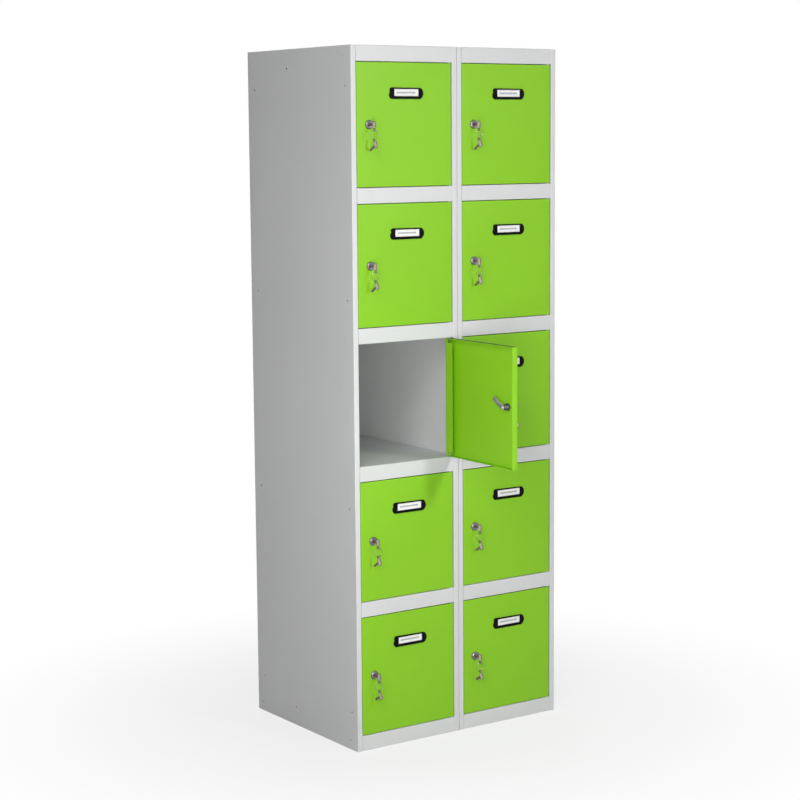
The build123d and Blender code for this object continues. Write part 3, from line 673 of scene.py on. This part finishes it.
def wound_ring():
    """A split ring, wound by a tree of nodes from one wire. Its centre is the origin and its
    axis is Y."""
    tree = bpy.data.node_groups.new("wound_wire", "GeometryNodeTree")
    face = tree.interface
    face.new_socket("Geometry", in_out="OUTPUT", socket_type="NodeSocketGeometry")
    sizes = {"Turns": RING_TURNS, "Radius": RING_MM, "Pitch": TURN_PITCH_MM,
             "Wire": TURN_WIRE_MM}
    for name in sizes:
        face.new_socket(name, in_out="INPUT", socket_type="NodeSocketFloat")
    add, link = tree.nodes.new, tree.links.new
    given, result = add("NodeGroupInput"), add("NodeGroupOutput")
    spiral, section, sweep = (add("GeometryNodeCurveSpiral"),
                              add("GeometryNodeCurvePrimitiveCircle"),
                              add("GeometryNodeCurveToMesh"))
    spiral.inputs["Resolution"].default_value = 48
    section.inputs["Resolution"].default_value = 10
    height = add("ShaderNodeMath")
    height.operation = "MULTIPLY"
    link(given.outputs["Turns"], height.inputs[0])
    link(given.outputs["Pitch"], height.inputs[1])
    link(given.outputs["Turns"], spiral.inputs["Rotations"])
    link(height.outputs[0], spiral.inputs["Height"])
    for end in ("Start Radius", "End Radius"):
        link(given.outputs["Radius"], spiral.inputs[end])
    link(given.outputs["Wire"], section.inputs["Radius"])
    link(spiral.outputs["Curve"], sweep.inputs["Curve"])
    link(section.outputs["Curve"], sweep.inputs["Profile Curve"])
    sweep.inputs["Fill Caps"].default_value = True
    real, coat = add("GeometryNodeRealizeInstances"), add("GeometryNodeSetMaterial")
    coat.inputs["Material"].default_value = ring_steel
    link(sweep.outputs["Mesh"], real.inputs["Geometry"])
    link(real.outputs["Geometry"], coat.inputs["Geometry"])
    link(coat.outputs["Geometry"], result.inputs["Geometry"])
    carrier = in_scene("ring", bpy.data.meshes.new("ring"))
    winding = carrier.modifiers.new("winding", "NODES")
    winding.node_group = tree
    for item in face.items_tree:
        if item.in_out == "INPUT":
            winding[item.identifier] = sizes[item.name]
    return plain(carrier, Matrix.Rotation(math.radians(90), 4, "X")
                 @ Matrix.Translation((0, 0, -RING_TURNS * TURN_PITCH_MM / 2)))


def plain(carrier, place):
    """The object with what its modifiers make as a plain mesh, put in its place."""
    bpy.context.view_layer.update()
    graph = bpy.context.evaluated_depsgraph_get()
    mesh = bpy.data.meshes.new_from_object(carrier.evaluated_get(graph))
    carrier.modifiers.clear()
    mesh.transform(place)
    shade_smooth(mesh, 40.0)
    carrier.data = mesh
    return carrier


def ring_drop(turn):
    """How far the ring's wire lies below the middle of the hole that it hangs in."""
    edge = KEY_HOLE_MM * math.cos(turn) - KEY_THICK_MM / 2 * math.sin(turn)
    return edge - RING_WIRE_MM - SEAT_GAP_MM


def spare_balance():
    """Direction from a key's eye to its centre of mass, in the key's own plane."""
    blade_length = KEY_NECK_MM + BLADE_DEPTH_MM
    blade_area = BLADE_HEIGHT_MM * blade_length
    bow_middle = Vector((0.0, BOW_BALANCE_MM))
    blade_middle = Vector(((BOW_LENGTH_MM + blade_length) / 2, EYE_BELOW_MM))
    weighted = BOW_AREA_MM2 * bow_middle + blade_area * blade_middle
    return (weighted / (BOW_AREA_MM2 + blade_area)).normalized()


# ---------------------------------------------------------------- sheet metal
FACING = 0.9  # cosine of the angle within which a face looks along a direction


def smoothed(node, finish):
    """A finished copy of a CAD node, with round bends shaded smoothly."""
    builder = bmesh.new()
    builder.from_mesh(nodes[node].data)
    bmesh.ops.remove_doubles(builder, verts=builder.verts, dist=1e-6)
    bmesh.ops.dissolve_limit(builder, angle_limit=math.radians(0.5), verts=builder.verts,
                             edges=builder.edges)
    return piece_from(f"{node}_finished", builder, [finish], smooth_below=32.0)


def paint_door_shade_and_light(made, place, ends, inside):
    """Paints a door's level flanges near-black green as painted shade, and its inner side a
    lighter green as painted light.
    """
    made.data.materials.append(ends)
    made.data.materials.append(inside)
    inwards = (place.to_3x3() @ Vector((0, 1, 0))).normalized()
    heights = [vertex.co.z for vertex in made.data.vertices]
    low, high = min(heights), max(heights)
    for face in made.data.polygons:
        from_end = min(face.center.z - low, high - face.center.z)
        # painted shade on the top and bottom flanges
        if abs(face.normal.z) > FACING and from_end < MM / 2:
            face.material_index = 1
        # painted light on the inner side
        elif face.normal.dot(inwards) > FACING:
            face.material_index = 2


def finish_piece(made, body, replaced):
    """Says what the piece moves with and the node that it stands for."""
    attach(made, body)
    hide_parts(replaced)


# ---------------------------------------------------------------- the cabinet
SHEET_NODES = ("left_side_panel", "right_side_panel", "centre_walls", "back_panels",
               "top_panels", "floor_panels", "shelves")
for sheet_node in SHEET_NODES:
    # the centre walls carry painted shade in the groove between the two columns
    coat = seam_shaded_coat if sheet_node == "centre_walls" else grey_coat
    finish_piece(smoothed(sheet_node, coat), "cabinet", sheet_node)
for metal_node in ("carcass_fasteners", "hinge_pins"):
    finish_piece(smoothed(metal_node, zinc_plate), "cabinet", metal_node)
finish_piece(smoothed("hinge_bushes", white_nylon), "cabinet", "hinge_bushes")

label_pieces = label_masters()
lock_pieces, plug_pieces = lock_masters()
core_pieces = {**plug_pieces, **cam_masters()}
key, ring = key_master(), wound_ring()

# the key stands in its plane with its eye below the blade
stand_key = Matrix((
    (0, -1, 0, LOCK_X_MM),
    (1, 0, 0, BOW_MIDDLE_MM),
    (0, 0, 1, LOCK_Z_MM - EYE_BELOW_MM),
    (0, 0, 0, 1),
))
balance = spare_balance()
for door in doors:
    name = door.name
    door_body, lock_body, key_body = f"{name}_door", f"{name}_lock", f"{name}_keys"
    panel = smoothed(f"{name}_door", green_coat)
    # painted shade on the door's flanges and painted light on its inner side
    paint_door_shade_and_light(panel, door.place, shade_painted_green, lit_inner_green)
    finish_piece(panel, door_body, f"{name}_door")
    for part, master in label_pieces.items():
        finish_piece(door.put(master, part), door_body, f"{name}_label_holder")
    for part, master in lock_pieces.items():
        finish_piece(door.put(master, part), door_body, f"{name}_lock_body")
    for part, master in core_pieces.items():
        finish_piece(door.put(master, part, door.lock_turn), lock_body,
                     f"{name}_lock_core")
    finish_piece(door.put(key, "key", door.lock_turn @ stand_key), lock_body,
                 f"{name}_lock_core")
    eye = door.lock_turn @ Vector((LOCK_X_MM, BOW_MIDDLE_MM, LOCK_Z_MM - EYE_BELOW_MM))
    ring_centre = eye - Vector((0, 0, ring_drop(door.turn) + RING_MM))
    finish_piece(door.put(ring, "ring", Matrix.Translation(ring_centre)), key_body,
                 f"{name}_key_ring")
    spare_eye = ring_centre - Vector((0, 0, RING_MM + ring_drop(0)))
    spare_place = Matrix((
        (0, 1, 0, spare_eye.x),
        (balance.y, 0, -balance.x, spare_eye.y),
        (-balance.x, 0, -balance.y, spare_eye.z),
        (0, 0, 0, 1),
    ))
    finish_piece(door.put(key, "spare_key", spare_place), key_body,
                 f"{name}_key_ring")

for master in (*label_pieces.values(), *lock_pieces.values(), *core_pieces.values(), key, ring):
    bpy.data.objects.remove(master)


# ---------------------------------------------------------------- floor, light and camera
FLOOR_RADIUS = 40.0
WHITE_NEAR = 0.78  # how white the floor is beside the cabinet; at FADE_END it is plain white
FADE_START, FADE_END = 0.3, 1.4
WHITE = (1.0, 1.0, 1.0, 1.0)

# name, place, the point that it faces, side of its square, watts
LAMPS = (
    ("high_light", (-2.6, -2.2, 3.2), (0, 0, 1.3), 1.6, 39.5),
    ("side_light", (-3.0, -2.6, 1.4), (0, 0, 1.0), 1.6, 17.0),
    ("near_light", (-1.05, -1.6, 0.9), (-0.1, -0.4, 0.9), 0.6, 11.7),
    ("front_light", (0.72, -3.6, 2.10), (0, 0, 0.9), 0.35, 41.0),
    ("top_light", (1.0, -2.4, 3.2), (0, 0, 0.9), 0.8, 7.0),
    ("back_light", (1.6, 3.4, 2.2), (0, 0, 0.9), 1.8, 45.0),
    ("right_light", (3.4, 0.5, 1.9), (0, 0, 0.9), 1.6, 20.0),
)
CAMERA_PLACE = (-3.041, -4.37, 1.573)
CAMERA_YAW, CAMERA_PITCH, CAMERA_ROLL = 34.73, 7.58, -0.448  # degrees
LENS_MM = 88.91


def make_floor():
    """A pale floor that fades to the plain background away from the cabinet."""
    builder = bmesh.new()
    bmesh.ops.create_circle(builder, cap_ends=True, segments=96, radius=FLOOR_RADIUS)
    finish = Finish("studio_floor", Roughness=0.9, IOR=1.2)
    grain = finish.noise(6.0, 3.0)
    finish.drive("Base Color", finish.mix(grain, (0.60, 0.60, 0.60, 1), (0.62, 0.62, 0.62, 1)))
    far = finish.node("ShaderNodeVectorMath", {"operation": "LENGTH"}, finish.where)["Value"]
    whiteness = WHITE_NEAR + (1 - WHITE_NEAR) * far.between(FADE_START, FADE_END)
    glow = finish.node("ShaderNodeEmission", {}, Color=WHITE, Strength=1.0)["Emission"]
    surface = Value(finish, finish.shader.outputs["BSDF"])
    blend = finish.node("ShaderNodeMixShader", {}, finish.seen_directly() * whiteness,
                        surface, glow)
    finish.tree.links.new(blend["Shader"].socket, finish.output.inputs["Surface"])
    piece_from("floor", builder, [finish.material])


def make_lamp(name, place, target, side, power):
    """A square lamp that faces a point."""
    lamp = bpy.data.lights.new(name, "AREA")
    lamp.size, lamp.energy = side, power
    made = in_scene(name, lamp)
    made.location = place
    made.rotation_euler = (Vector(target) - Vector(place)).to_track_quat("-Z", "Y").to_euler()


def make_world():
    """A dark room, which the camera and reflections see as plain white."""
    world = bpy.data.worlds.new("studio")
    world.use_nodes = True
    bpy.context.scene.world = world
    room = Nodes(world.node_tree)
    dark, white = (
        room.node("ShaderNodeBackground", {}, Color=WHITE, Strength=strength)["Background"]
        for strength in (0.0, 1.0)
    )
    blend = room.node("ShaderNodeMixShader", {}, room.seen_directly(), dark, white)["Shader"]
    room.node("ShaderNodeOutputWorld", {}, Surface=blend)


def make_camera():
    """A camera that looks along +Y, then turned left or right, tilted down and rolled."""
    camera = bpy.data.cameras.new("camera")
    camera.lens = LENS_MM
    made = in_scene("camera", camera)
    made.matrix_world = (
        Matrix.Translation(CAMERA_PLACE)
        @ Matrix.Rotation(math.radians(-CAMERA_YAW), 4, "Z")
        @ Matrix.Rotation(math.radians(90 - CAMERA_PITCH), 4, "X")
        @ Matrix.Rotation(math.radians(CAMERA_ROLL), 4, "Z")
    )
    bpy.context.scene.camera = made


make_floor()
make_world()
for lamp in LAMPS:
    make_lamp(*lamp)
make_camera()
bpy.context.scene.view_settings.view_transform = "Standard"
